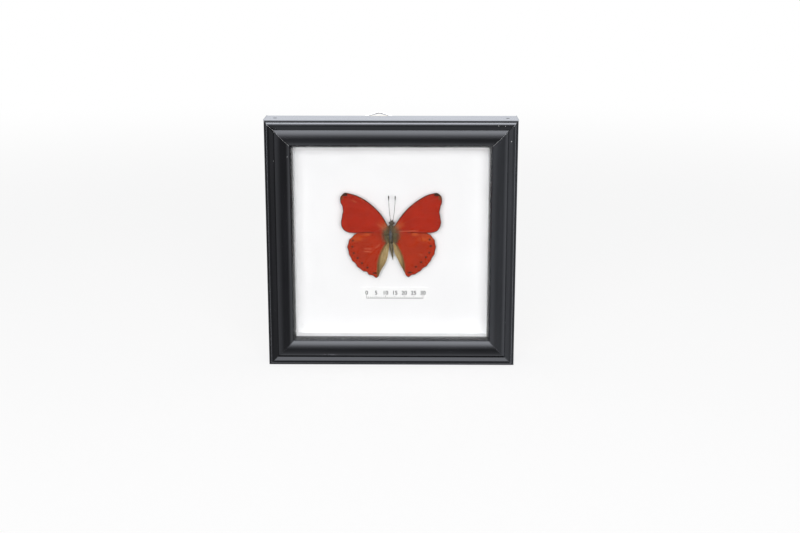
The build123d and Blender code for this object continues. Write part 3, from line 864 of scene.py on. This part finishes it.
def wing_relief(points, share, veins, seed):
    """Depth of the membrane behind the wing's plane: ridges at the veins, sag between, a loose edge."""
    vein_gap = np.min([distance_to_line(points, line) for line in veins], axis=0)
    ridge = -0.05 * np.exp(-(vein_gap / 0.22) ** 2)
    sag = 0.07 * (1 - np.exp(-(vein_gap / 1.1) ** 2))
    ripple = wing_noise(points, 5.5, seed) * 0.16 * share ** 2
    return ridge + sag + ripple, vein_gap


def close_sheet(obj, thickness):
    """Turn an open sheet into a thin closed body behind its face."""
    solid = obj.modifiers.new("thickness", "SOLIDIFY")
    solid.thickness = thickness
    solid.offset = -1
    dependency = bpy.context.evaluated_depsgraph_get()
    mesh = bpy.data.meshes.new_from_object(obj.evaluated_get(dependency), preserve_all_data_layers=True,
                                           depsgraph=dependency)
    obj.modifiers.clear()
    obj.data = mesh


def make_wing(node, margin, paint, seed, base, veins, material, plane_y):
    """A wing from its outline and veins, which are written for the left and mirrored for the right."""
    side = -1 if node.startswith("left") else 1
    points, share = wing_surface(base, margin, WING_ROWS, WING_COLUMNS)
    depth, vein_gap = wing_relief(points, share, veins, seed)
    edge_gap = distance_to_line(points, margin[::6], 500)
    values = paint(points, edge_gap, vein_gap)
    depth = depth + values.pop("lift")
    vertices = np.stack([THORAX.x - side * points[:, 0] * MM, plane_y + depth * MM,
                         THORAX.z + points[:, 1] * MM], 1)
    faces = grid_faces(WING_ROWS, WING_COLUMNS)
    if side > 0:
        faces = [f[::-1] for f in faces]
    wing = mesh_object(node + "_membrane", vertices, faces, [material])
    for key, value in values.items():
        add_values(wing, key, np.clip(value, 0, 1))
    close_sheet(wing, WING_THICKNESS)
    for polygon in wing.data.polygons:
        polygon.use_smooth = True
    stand_for(wing, "wing", node)


def scratches(points, lines):
    """Thin rubbed lines, from 0 to 1."""
    return np.max([np.exp(-(distance_to_line(points, line) / SCRATCH_WIDTH) ** 2) for line in lines], axis=0)


def blot(points, x, z, wide, tall, soft=0.3):
    """1 inside an ellipse, falling to 0 at its edge."""
    reach = np.hypot((points[:, 0] - x) / wide, (points[:, 1] - z) / tall)
    return 1 - smooth_step(1 - soft, 1 + soft, reach)


def paint_forewing(marks):
    """A function for a forewing's colour zones, from 0 to 1, and its lift in millimetres."""
    def paint(points, edge_gap, vein_gap):
        rough = wing_noise(points, 1.6, 5)
        outer = 1 - smooth_step(-12.0, -5.0, points[:, 0])
        leading = smooth_step(0.0, 3.0, points[:, 1] + points[:, 0] * 0.86 - 1.5)
        width = 0.30 + 0.16 * leading + 0.08 * rough
        rim = 1 - smooth_step(width * 0.6, width * 1.4, edge_gap)
        rim = rim * np.maximum(outer, leading)
        crescent = blot(points, -24.6, 21.0, 2.1, 1.0) * (1 - blot(points, -24.9, 18.9, 2.0, 1.5))
        tip = blot(points, -25.7, 19.8, 0.8, 1.6)
        root = 1 - smooth_step(1.5, 6.5, np.hypot(points[:, 0], points[:, 1] - 2.5))
        return {
            "dark": np.maximum(0.95 * rim, crescent),
            "olive": np.maximum(0.8 * tip, 0.35 * root),
            "orange": 0.5 * blot(points, -4.8, 5.3, 2.2, 1.8, 0.7) + 0.25 * root,
            "brown": 0.35 * root,
            "vein": np.exp(-(vein_gap / VEIN_WIDTH) ** 2),
            "scratch": scratches(points, marks),
            "lift": 0.5 * smooth_step(0.0, 14.0, -points[:, 0]) - 0.35,
        }
    return paint


def paint_hindwing(spots, marks):
    """The same for a hindwing; its last spot is drawn as a dash."""
    def paint(points, edge_gap, vein_gap):
        rough = wing_noise(points, 1.4, 9)
        dark = np.zeros(len(points))
        for k, (x, z) in enumerate(spots):
            wide, tall = SPOT_SIZE if k < len(spots) - 1 else DASH_SIZE
            dark = np.maximum(dark, blot(points, x, z, wide, tall, 0.4))
        fine = curve_through(BROWN_EDGE, 80)
        edge_x = np.interp(-points[:, 1], -fine[:, 1], fine[:, 0], left=fine[0, 0], right=fine[-1, 0])
        width = 0.24 + 0.08 * rough
        rim = 1 - smooth_step(width * 0.6, width * 1.5, edge_gap)
        rim = rim * (1 - smooth_step(-0.8, 0.2, points[:, 0] - edge_x))
        rim = rim * (1 - smooth_step(-9.0, -5.0, points[:, 0]))
        dark = np.maximum(dark, 0.8 * rim)
        inner = smooth_step(-0.7, 0.9, points[:, 0] - edge_x + rough * 0.3)
        below = smooth_step(1.0, 4.5, -points[:, 1])
        root = 1 - smooth_step(2.0, 7.0, np.hypot(points[:, 0], points[:, 1] + 1))
        shoulder = 0.65 * blot(points, -18.6, -2.2, 3.8, 1.8, 0.8) + blot(points, -12.7, -0.3, 1.7, 0.9, 0.5)
        low = smooth_step(12.0, 19.0, -points[:, 1])
        crease = np.exp(-((points[:, 0] - edge_x - 0.3) / 0.6) ** 2) * below
        fold = 0.9 * inner * below * smooth_step(-6, 0, points[:, 0])
        return {
            "dark": dark,
            "orange": shoulder + 0.3 * root,
            "brown": inner * below,
            "olive": np.clip(0.75 * crease + 0.55 * low * inner, 0, 1),
            "vein": np.exp(-(vein_gap / VEIN_WIDTH) ** 2),
            "scratch": scratches(points, marks),
            "lift": 0.3 * smooth_step(0.0, 14.0, -points[:, 0]) + fold - 0.14 * crease,
        }
    return paint


def make_wings():
    """Each wing from its margin, its scallops as (first, last, bites, depth), and its paint."""
    fore = (FORE_BASE, FOREWING_VEINS, FOREWING_SKIN, FORE_LOW.y)
    hind = (HIND_BASE, HINDWING_VEINS, HINDWING_SKIN, HIND_LOW.y + 0.25 * MM)
    wings = {
        "left_forewing": (LEFT_FOREWING, (0.40, 0.66, 6, 0.16), paint_forewing(LEFT_FORE_MARKS), fore),
        "right_forewing": (RIGHT_FOREWING, (0.40, 0.66, 6, 0.16), paint_forewing(RIGHT_FORE_MARKS), fore),
        "left_hindwing": (LEFT_HINDWING, (0.26, 0.70, 8, 0.34), paint_hindwing(LEFT_SPOTS, LEFT_HIND_MARKS),
                          hind),
        "right_hindwing": (RIGHT_HINDWING, (0.28, 0.70, 8, 0.34),
                           paint_hindwing(RIGHT_SPOTS, RIGHT_HIND_MARKS), hind),
    }
    for k, (node, (outline, scallops, paint, kind)) in enumerate(wings.items()):
        make_wing(node, scallop(outline, *scallops), paint, 70 + k, *kind)


make_wings()


# ---- body ----
# A hair's rings as (share of its length, share of its width), each of three vertices, and its faces.
HAIR_RINGS = ((0.0, 1.0), (0.45, 0.8), (0.8, 0.45))
HAIR_SIDES = 3
RUFF_HAIRS = 1300
WHISKERS = 110
ABDOMEN_RINGS = 8.0
ANTENNA_RINGS = 46
CLUB_FROM = 0.80
PALP_RADII = (0.2, 0.24, 0.26, 0.27, 0.27, 0.26, 0.25, 0.22, 0.19, 0.15, 0.1, 0.04)
HAIR_FACES = grid_faces(3, 3, closed=True) + [(6, 7, 9), (7, 8, 9), (8, 6, 9), (2, 1, 0)]


def spun_body(name, spine, radii, rings, around, bumps, seed):
    """A closed body round a spine of (x, y, z), with radii across and front to back along it."""
    spine = curve_through(spine, rings)
    radii = curve_through(radii, rings)
    vertices = []
    for centre, (wide, deep) in zip(spine, radii):
        for k in range(around):
            angle = 2 * math.pi * k / around
            spoke = (wide * math.cos(angle), deep * math.sin(angle), 0.0)
            vertices.append(centre + np.array(spoke))
    vertices = np.array(vertices)
    out = vertices - np.repeat(spine, around, axis=0)
    out /= np.maximum(np.linalg.norm(out, axis=1), 1e-9)[:, None]
    vertices += out * (value_noise(vertices, 1.4 * MM, seed, 4) * bumps)[:, None]
    obj = mesh_object(name, vertices, tube_faces(rings, around), [SKIN])
    face_outwards(obj)
    return obj


def egg_radii(wide, deep, steps=9, blunt=2.2):
    """Radii of an egg from end to end, never quite closing."""
    t = np.linspace(-0.985, 0.985, steps)
    swell = (1 - np.abs(t) ** blunt) ** (1 / blunt)
    return [(wide * s, deep * s) for s in swell]


def hair_mesh(name, roots, directions, lengths, widths, material, seed, curl=0.25):
    """Tapered, slightly bent hairs as real geometry, one mesh, with a tone for each strand."""
    gen = np.random.default_rng(seed)
    vertices, faces, tones = [], [], []
    for root, direction, length, width in zip(roots, directions, lengths, widths):
        direction = direction / np.linalg.norm(direction)
        side = np.cross(direction, gen.normal(size=3))
        side /= np.linalg.norm(side)
        other = np.cross(direction, side)
        bend = gen.normal(scale=curl, size=3) * length
        tone = gen.uniform(0.1, 0.9)
        start = len(vertices)
        for step, thin in HAIR_RINGS:
            middle = root + direction * length * step + bend * step ** 2
            for k in range(HAIR_SIDES):
                angle = 2 * math.pi * k / HAIR_SIDES
                spoke = math.cos(angle) * side + math.sin(angle) * other
                vertices.append(middle + spoke * width * thin)
                tones.append(tone * (0.55 + 0.45 * step))
        vertices.append(root + direction * length + bend)
        tones.append(tone)
        faces += [tuple(start + corner for corner in face) for face in HAIR_FACES]
    obj = mesh_object(name, vertices, faces, [material])
    add_values(obj, "strand", tones)
    stand_for(obj, "body_fur")


def scatter(obj, count, seed, keep):
    """Random places on a mesh with their normals, kept where the test passes."""
    gen = np.random.default_rng(seed)
    mesh = obj.data
    mesh.calc_loop_triangles()
    corners = np.array([[mesh.vertices[i].co[:] for i in t.vertices] for t in mesh.loop_triangles])
    cross = np.cross(corners[:, 1] - corners[:, 0], corners[:, 2] - corners[:, 0])
    area = np.linalg.norm(cross, axis=1)
    pick = gen.choice(len(corners), size=count, p=area / area.sum())
    a, b = gen.uniform(size=(2, count))
    flip = a + b > 1
    a[flip], b[flip] = 1 - a[flip], 1 - b[flip]
    c = corners[pick]
    places = c[:, 0] + a[:, None] * (c[:, 1] - c[:, 0]) + b[:, None] * (c[:, 2] - c[:, 0])
    normals = cross[pick] / area[pick][:, None]
    chosen = keep(places, normals)
    return places[chosen], normals[chosen]


def faces_front(places, normals):
    """Whether each place on a body looks forwards or sideways rather than back."""
    return normals[:, 1] < 0.4


def bare_oval(places):
    """How far inside the thorax's bare dark oval a place is: under 1 is inside."""
    x = (places[:, 0] - (THORAX.x - 0.35 * MM)) / (0.95 * MM)
    z = (places[:, 2] - (THORAX.z - 0.4 * MM)) / (3.0 * MM)
    behind = (places[:, 1] > THORAX.y) * 10.0
    return np.hypot(x, z) + behind


def coat(name, body, count, seed, keep, pull, share, jitter, lengths, widths):
    """Short hair on a body: out from its surface, pulled towards a direction, a little untidy."""
    roots, normals = scatter(body, count, seed, keep)
    gen = np.random.default_rng(seed + 1)
    lengths = gen.uniform(*lengths, len(roots)) * MM
    widths = gen.uniform(*widths, len(roots)) * MM
    gen = np.random.default_rng(seed + 2)
    directions = normals * (1 - share) + np.asarray(pull(roots)) * share
    directions += gen.normal(scale=jitter, size=normals.shape)
    hair_mesh(name, roots, directions, lengths, widths, FUR, seed + 3)


def make_thorax():
    deep = (THORAX_HIGH.y - THORAX_LOW.y) / 2
    wide = (THORAX_HIGH.x - THORAX_LOW.x) / 2
    spine = [(THORAX.x, THORAX.y, THORAX_LOW.z + 0.05 * MM), (THORAX.x, THORAX.y, THORAX_HIGH.z - 0.05 * MM)]
    body = spun_body("thorax_body", spine, egg_radii(wide * 0.94, deep * 0.94), 44, 56, 0.07 * MM, 3)
    places = np.array([v.co[:] for v in body.data.vertices])
    add_values(body, "bare", 1 - smooth_step(0.75, 1.1, bare_oval(places)))
    add_values(body, "band", np.zeros(len(places)))
    stand_for(body, "body_fur", "thorax")

    def keep(roots, normals):
        return (normals[:, 1] < 0.35) & (bare_oval(roots) > 0.95)

    def pull(roots):
        side = np.sign(roots[:, 0] - THORAX.x)
        return np.stack([side * 0.36, np.full(len(roots), -0.12), np.full(len(roots), -0.96)], 1)

    coat("thorax_hair", body, 3800, 21, keep, pull, 0.5, 0.125, (0.45, 0.95), (0.018, 0.03))


def make_ruff():
    """Long tan hair that spreads from the thorax over the bases of the wings."""
    gen = np.random.default_rng(26)
    count = RUFF_HAIRS
    side = gen.choice((-1.0, 1.0), count)
    z = gen.uniform(-2.8, 4.6, count)
    half = (THORAX_HIGH.x - THORAX_LOW.x) / 2
    deep = THORAX_HIGH.y - THORAX_LOW.y
    spread = gen.uniform(0.35, 0.92, count)
    front = np.minimum(THORAX.y - deep * 0.5 * np.sqrt(1 - spread ** 2) * 0.9, FORE_LOW.y - 0.1 * MM)
    roots = np.stack([THORAX.x + side * half * spread, front, THORAX.z + z * MM], 1)
    reach = np.exp(-((z - 0.4) / 2.6) ** 2)
    low = 1 - smooth_step(-3.0, 0.5, z)
    directions = np.stack([side * (1.0 - 0.45 * low), -0.10 - 0.06 * reach, -0.15 - 0.9 * low], 1)
    directions += gen.normal(scale=(0.22, 0.08, 0.38), size=(count, 3))
    lengths = (0.7 + 2.6 * reach + 1.3 * low) * gen.uniform(0.35, 1.35, count) * MM
    widths = gen.uniform(0.02, 0.045, count) * MM
    hair_mesh("thorax_ruff", roots, directions, lengths, widths, RUFF, 27, 0.12)
    few = gen.choice(count, WHISKERS, replace=False)
    lengths = gen.uniform(2.6, 6.0, WHISKERS) * MM
    widths = gen.uniform(0.025, 0.04, WHISKERS) * MM
    hair_mesh("thorax_whiskers", roots[few], directions[few] * (1, 0.5, 1.3), lengths, widths, FUR, 28, 0.1)


def make_abdomen():
    tilt = (ABDOMEN_HIGH.x - ABDOMEN_LOW.x) / 2
    middle = (ABDOMEN_LOW + ABDOMEN_HIGH) / 2
    spine = [(middle.x - 0.5 * tilt, middle.y, ABDOMEN_HIGH.z + 0.6 * MM), (middle.x, middle.y, middle.z),
             (middle.x + 0.45 * tilt, middle.y, ABDOMEN_LOW.z + 0.05 * MM)]
    deep = (ABDOMEN_HIGH.y - ABDOMEN_LOW.y) / 2
    radii = [(deep * s, deep * s) for s in (0.72, 0.92, 0.98, 0.95, 0.86, 0.7, 0.48, 0.14)]
    body = spun_body("abdomen_body", spine, radii, 90, 40, 0.03 * MM, 8)
    places = np.array([v.co[:] for v in body.data.vertices])
    share = (ABDOMEN_HIGH.z - places[:, 2]) / (ABDOMEN_HIGH.z - ABDOMEN_LOW.z)
    phase = share * ABDOMEN_RINGS % 1.0
    centre = np.stack([np.interp(share, [0, 1], [spine[0][0], spine[2][0]]), np.full(len(places), middle.y),
                       places[:, 2]], 1)
    pinch = 1 - 0.09 * np.exp(-((phase - 1.0) / 0.1) ** 2) - 0.09 * np.exp(-(phase / 0.1) ** 2) + 0.03 * phase
    places = centre + (places - centre) * pinch[:, None]
    body.data.vertices.foreach_set("co", places.astype(np.float32).ravel())
    add_values(body, "band", 0.45 * smooth_step(0.72, 0.98, phase))
    add_values(body, "bare", np.zeros(len(places)))
    stand_for(body, "body_fur", "abdomen")
    coat("abdomen_hair", body, 1500, 31, faces_front, lambda _: (0, -0.1, -1.0), 0.75, 0.15, (0.2, 0.42),
         (0.014, 0.022))


def make_head():
    middle = (HEAD_LOW + HEAD_HIGH) / 2
    wide, deep = (HEAD_HIGH.x - HEAD_LOW.x) / 2, (HEAD_HIGH.y - HEAD_LOW.y) / 2
    spine = [(middle.x, middle.y, HEAD_LOW.z - 0.2 * MM), (middle.x, middle.y, HEAD_HIGH.z - 0.02 * MM)]
    head = spun_body("head_body", spine, egg_radii(wide * 0.86, deep * 0.9), 26, 40, 0.04 * MM, 13)
    add_values(head, "bare", np.full(len(head.data.vertices), 0.25))
    add_values(head, "band", np.zeros(len(head.data.vertices)))
    stand_for(head, "body_fur", "head")
    coat("head_hair", head, 900, 41, faces_front, lambda _: (0, -0.3, 0.6), 0.4, 0.3, (0.3, 0.6),
         (0.015, 0.024))


def tube(name, path, radii, around, material, node):
    """A tapering tube along a path of points, closed at both ends."""
    path = np.asarray(path)
    vertices = []
    ahead = np.gradient(path, axis=0)
    for centre, direction, radius in zip(path, ahead, radii):
        direction = direction / np.linalg.norm(direction)
        side = np.cross(direction, (0, 1, 0))
        side /= np.linalg.norm(side)
        other = np.cross(direction, side)
        for k in range(around):
            angle = 2 * math.pi * k / around
            vertices.append(centre + radius * (math.cos(angle) * side + math.sin(angle) * other))
    obj = mesh_object(name, vertices, tube_faces(len(path), around), [material])
    face_outwards(obj)
    return stand_for(obj, "antenna", node)


def make_antennae():
    """Two thin ringed stalks with slim clubs, each a little bent."""
    for node, side, bow in (("left_antenna", -1, -0.25), ("right_antenna", 1, 0.3)):
        low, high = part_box(node)
        root_x, tip_x = (high.x, low.x) if side < 0 else (low.x, high.x)
        depth = (low.y + high.y) / 2
        root = np.array((root_x + side * 0.3 * MM, depth + 0.2 * MM, low.z - 0.3 * MM))
        tip = np.array((tip_x - side * 0.3 * MM, depth - 0.25 * MM, high.z - 0.05 * MM))
        share = np.linspace(0, 1, ANTENNA_RINGS * 4)
        path = root + share[:, None] * (tip - root)
        path[:, 0] += bow * MM * np.sin(share * math.pi)
        path[:, 1] -= 0.25 * MM * np.sin(share * math.pi)
        ringed = 1 + 0.1 * np.sin(share * ANTENNA_RINGS * 2 * math.pi)
        club = np.exp(-((share - 0.93) / 0.085) ** 2) * smooth_step(0.70, 0.86, share)
        end = np.sqrt(np.clip(1 - ((share - 0.96) / 0.045).clip(0) ** 2, 0.02, 1))
        radii = (0.115 * ringed + 0.2 * club) * end * MM
        antenna = tube(node + "_stalk", path, radii, 12, ANTENNA, node)
        antenna.data.materials.append(CLUB)
        for polygon in antenna.data.polygons:
            if polygon.center.z > low.z + (high.z - low.z) * CLUB_FROM:
                polygon.material_index = 1


def make_palps():
    low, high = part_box("palps")
    middle = (low + high) / 2
    for side, label in ((-1, "left"), (1, "right")):
        x = middle.x + side * (high.x - low.x) / 2 * 0.55
        path = curve_through([(x - side * 0.1 * MM, middle.y, low.z), (x, middle.y - 0.05 * MM, middle.z),
                              (x + side * 0.12 * MM, middle.y, high.z)], len(PALP_RADII))
        palp = tube(label + "_palp", path, np.array(PALP_RADII) * MM, 14, FUR, "palps")
        add_values(palp, "strand", np.full(len(palp.data.vertices), 0.3))


make_thorax()
make_ruff()
make_abdomen()
make_head()
make_antennae()
make_palps()


# ---- label print: a plain millimetre scale ----
SCALE_MM = 30
SCALE_BASE = 1.0 * MM
TICK_WIDTH = 0.2 * MM
LINE_WIDTH = 0.16 * MM
DIGIT_EVERY = 5
DIGIT_BASE = 3.0 * MM
DIGIT_SIZE = 3.0 * MM
DIGIT_BOLD = 0.035 * MM
DIGIT_RELIEF = 0.006 * MM
INK_GAP = 0.012 * MM


def tick_height(k):
    if k % 10 == 0:
        return 1.5 * MM
    return 1.2 * MM if k % 5 == 0 else 0.8 * MM


def make_scale():
    """Ticks and plain numbers on the label strip."""
    front = LABEL_LOW.y - INK_GAP
    left = (LABEL_LOW.x + LABEL_HIGH.x) / 2 - SCALE_MM / 2 * MM
    right = left + SCALE_MM * MM
    base = LABEL_LOW.z + SCALE_BASE
    half = TICK_WIDTH / 2
    bars = [(left + k * MM - half, left + k * MM + half, base, base + tick_height(k))
            for k in range(SCALE_MM + 1)]
    bars.append((left - half, right + half, base - LINE_WIDTH, base))
    vertices, faces = [], []
    for x_low, x_high, z_low, z_high in bars:
        faces.append(tuple(range(len(vertices), len(vertices) + 4)))
        corners = ((x_low, z_low), (x_high, z_low), (x_high, z_high), (x_low, z_high))
        vertices += [(x, front, z) for x, z in corners]
    stand_for(mesh_object("label_ticks", vertices, faces, [INK], smooth=False), "label")
    for k in range(0, SCALE_MM + 1, DIGIT_EVERY):
        curve = bpy.data.curves.new(f"label_number_{k}", "FONT")
        curve.body = str(k)
        curve.size = DIGIT_SIZE
        curve.offset = DIGIT_BOLD
        curve.align_x = "CENTER"
        curve.extrude = DIGIT_RELIEF
        number = bpy.data.objects.new(f"label_number_{k}", curve)
        bpy.context.scene.collection.objects.link(number)
        number.rotation_euler = (math.radians(90), 0, 0)
        number.location = (left + k * MM, front, LABEL_LOW.z + DIGIT_BASE)
        curve.materials.append(INK)
        stand_for(number, "label")


make_scale()


# ---- stage, light and camera ----
CAMERA_PLACE = (12.0 * MM, FRONT_Y - 678.0 * MM, 223.3 * MM)
CAMERA_PITCH = 13.97
CAMERA_YAW = 0.622
CAMERA_LENS = 60.39
CAMERA_SENSOR = 36.0
FLOOR_REACH = 8.0
FLOOR_COLOUR = (0.22, 0.22, 0.222)
FLOOR_LIFT = 0.80
ROOM_LEVEL = 0.36
FLOOR_FADE = (0.35, 1.2)
# What gloss mirrors, as brightness by height of the mirrored ray: a large softbox over a dim front.
GLOSS_BY_HEIGHT = [
    (-1.0, 1.0), (-0.91, 0.6), (-0.81, 0.4), (-0.64, 0.25), (-0.34, 0.18), (-0.17, 0.17), (0.0, 0.4),
    (0.19, 0.72), (0.375, 1.3), (0.53, 2.3), (0.67, 3.4), (0.81, 4.2), (0.92, 4.7), (1.0, 4.2),
]
GLOSS_MOST = 5.0
# What the sides and the back add, as (where it starts, where it is full, how much), by the ray's slant.
GLOSS_TO_LEFT = (-0.25, -0.95, 0.45)
GLOSS_TO_RIGHT = (0.62, 0.97, 0.8)
GLOSS_TO_BACK = (-0.1, 0.5, 0.7)
GLOSS_TINT = (0.95, 0.985, 1.07)
# Each lamp's place, what it is aimed at, its size and its power.
LAMPS = {
    "key": ((0.0, -1.45, 0.36), (0, 0, 0.07), (1.5, 1.0), 30.3),
    "top": ((0, -0.2, 1.2), (0, 0, 0.06), (1.2, 1.0), 1.5),
}


def make_floor():
    """A pale floor: white where the camera looks at it, with the object's shadow left on it."""
    m = Shading("floor_paint")
    m.set(Base_Color=FLOOR_COLOUR, Roughness=0.9, Specular_IOR_Level=0.0)
    path = m.node("ShaderNodeLightPath")
    seen = m.math("MAXIMUM", path.outputs["Is Camera Ray"], path.outputs["Is Transmission Ray"])
    lift = m.node("ShaderNodeEmission")
    m.feed(lift.inputs["Strength"], m.times(seen, FLOOR_LIFT))
    both = m.node("ShaderNodeAddShader")
    m.feed(both.inputs[0], m.skin.outputs[0])
    m.feed(both.inputs[1], lift.outputs[0])
    far = m.node("ShaderNodeVectorMath", operation="LENGTH")
    m.feed(far.inputs[0], m.place())
    plain = m.node("ShaderNodeEmission")
    m.blend(m.times(m.span(far.outputs["Value"], *FLOOR_FADE), seen), both.outputs[0], plain.outputs[0])
    r = FLOOR_REACH
    corners = [(-r, -r, 0), (r, -r, 0), (r, r, 0), (-r, r, 0)]
    floor = mesh_object("floor", corners, [(0, 1, 2, 3)], [m.material])
    floor.visible_glossy = False


def make_world():
    """A pale room. Gloss mirrors a large softbox overhead, white sides and a dim room in front."""
    world = bpy.data.worlds.new("room")
    bpy.context.scene.world = world
    world.use_nodes = True
    w = Nodes(world.node_tree)
    split = w.node("ShaderNodeSeparateXYZ")
    w.feed(split.inputs[0], w.node("ShaderNodeTexCoord").outputs["Generated"])
    gloss = w.ramp(split.outputs["Z"], GLOSS_BY_HEIGHT, GLOSS_MOST)
    for axis, (low, high, most) in (("X", GLOSS_TO_LEFT), ("X", GLOSS_TO_RIGHT), ("Y", GLOSS_TO_BACK)):
        gloss = w.math("ADD", gloss, w.span(split.outputs[axis], low, high, 0.0, most))
    path = w.node("ShaderNodeLightPath")
    mirrored = w.math("MAXIMUM", path.outputs["Is Glossy Ray"], path.outputs["Is Transmission Ray"])
    plain = w.math("ADD", w.times(path.outputs["Is Camera Ray"], 1.0 - ROOM_LEVEL), ROOM_LEVEL)
    unmirrored = w.math("SUBTRACT", 1.0, mirrored)
    background = w.node("ShaderNodeBackground")
    w.feed(background.inputs["Color"], w.mix(mirrored, (1, 1, 1), GLOSS_TINT))
    w.feed(background.inputs["Strength"], w.math("ADD", w.times(mirrored, gloss), w.times(unmirrored, plain)))
    w.feed(w.node("ShaderNodeOutputWorld").inputs[0], background.outputs[0])


def make_lamp(name, place, target, size, power):
    """A soft rectangle of light that only lights: it is never seen or mirrored."""
    light = bpy.data.lights.new(name, "AREA")
    light.shape = "RECTANGLE"
    light.size, light.size_y = size
    light.energy = power
    lamp = bpy.data.objects.new(name, light)
    bpy.context.scene.collection.objects.link(lamp)
    lamp.location = place
    lamp.rotation_euler = (Vector(target) - Vector(place)).to_track_quat("-Z", "Y").to_euler()
    lamp.visible_camera = False
    lamp.visible_glossy = False
    lamp.visible_transmission = False


def make_camera():
    data = bpy.data.cameras.new("camera")
    data.lens = CAMERA_LENS
    data.sensor_width = CAMERA_SENSOR
    camera = bpy.data.objects.new("camera", data)
    bpy.context.scene.collection.objects.link(camera)
    camera.location = CAMERA_PLACE
    camera.rotation_euler = Euler((math.radians(90 - CAMERA_PITCH), 0, math.radians(CAMERA_YAW)))
    bpy.context.scene.camera = camera


make_floor()
make_world()
for lamp_name, lamp_row in LAMPS.items():
    make_lamp(lamp_name, *lamp_row)
make_camera()
bpy.context.scene.view_settings.view_transform = "Standard"
